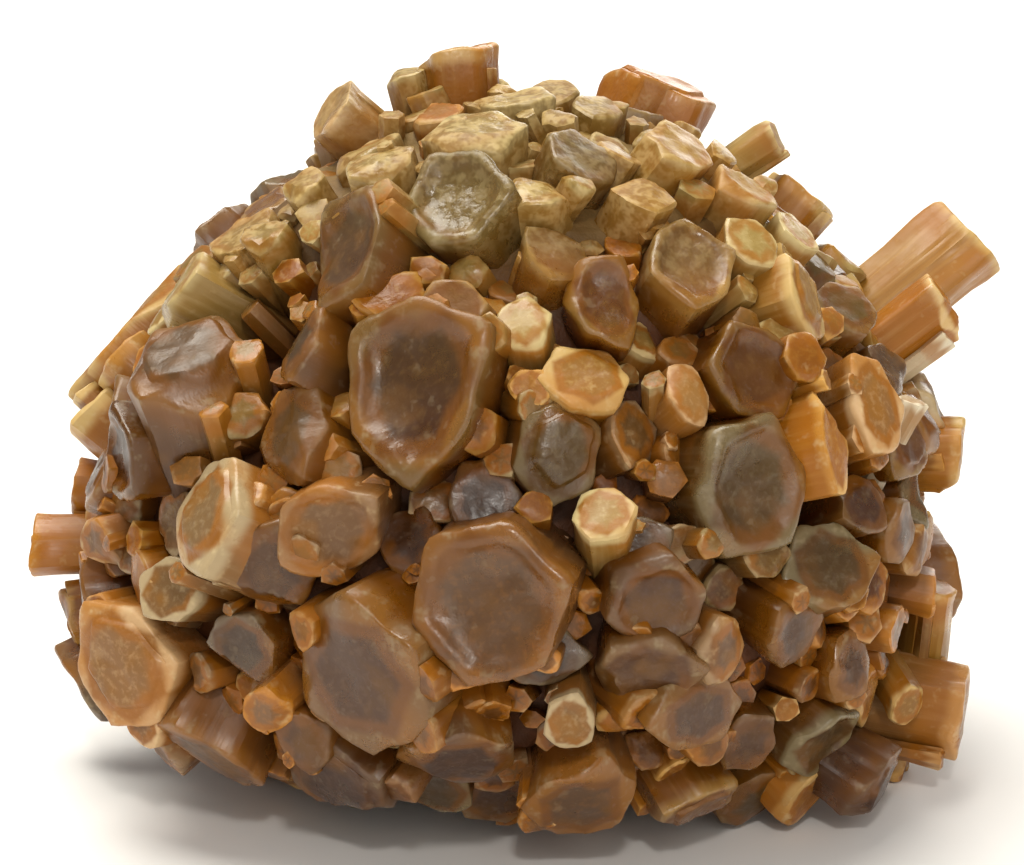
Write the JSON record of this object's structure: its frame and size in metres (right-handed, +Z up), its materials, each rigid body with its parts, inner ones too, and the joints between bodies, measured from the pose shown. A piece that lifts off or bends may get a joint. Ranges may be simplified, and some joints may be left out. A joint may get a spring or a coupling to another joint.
{
  "type": "aragonite sputnik cluster",
  "caption": "Natural aragonite sputnik cluster: honey, amber and smoky brown hexagonal prisms radiating from one centre, resting on a small flat spot.",
  "frame": {"origin": "middle of the bounding box at the resting plane, under the cluster", "axes": "+Z up from the surface it rests on, +X along the cluster's longest way, towards the long free-standing pair of crystals, and -Y towards the side that the picture shows"},
  "size_m": [0.0514, 0.0453, 0.0377],
  "materials": {
    "aragonite": "vitreous, translucent honey to smoky brown, with paler rims on the prism ends"
  },
  "bodies": {
    "root": {"aragonite_cluster": "aragonite"}
  },
  "joints": []
}
